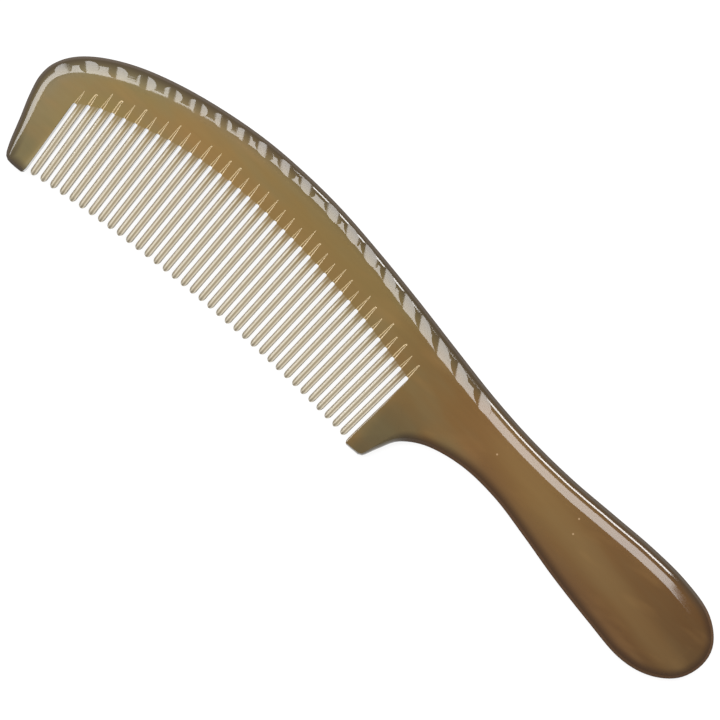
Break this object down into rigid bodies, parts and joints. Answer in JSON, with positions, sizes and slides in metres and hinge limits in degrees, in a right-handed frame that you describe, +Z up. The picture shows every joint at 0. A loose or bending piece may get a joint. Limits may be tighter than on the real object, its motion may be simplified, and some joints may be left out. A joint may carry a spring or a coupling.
{
  "type": "hair comb",
  "caption": "One-piece polished horn hair comb with fine teeth, two end guards, a scooped back edge and a rounded handle.",
  "frame": {"origin": "bottom centre of the bounding box, on the flat face that the comb lies on", "axes": "+X along the comb's length, towards the end of the handle; +Y towards the back, away from the tips of the teeth; +Z up, out of the upper face"},
  "size_m": [0.19, 0.0392, 0.005],
  "materials": {
    "horn": "polished translucent ox horn, olive to brown"
  },
  "bodies": {
    "root": {"comb": "horn"}
  },
  "joints": []
}
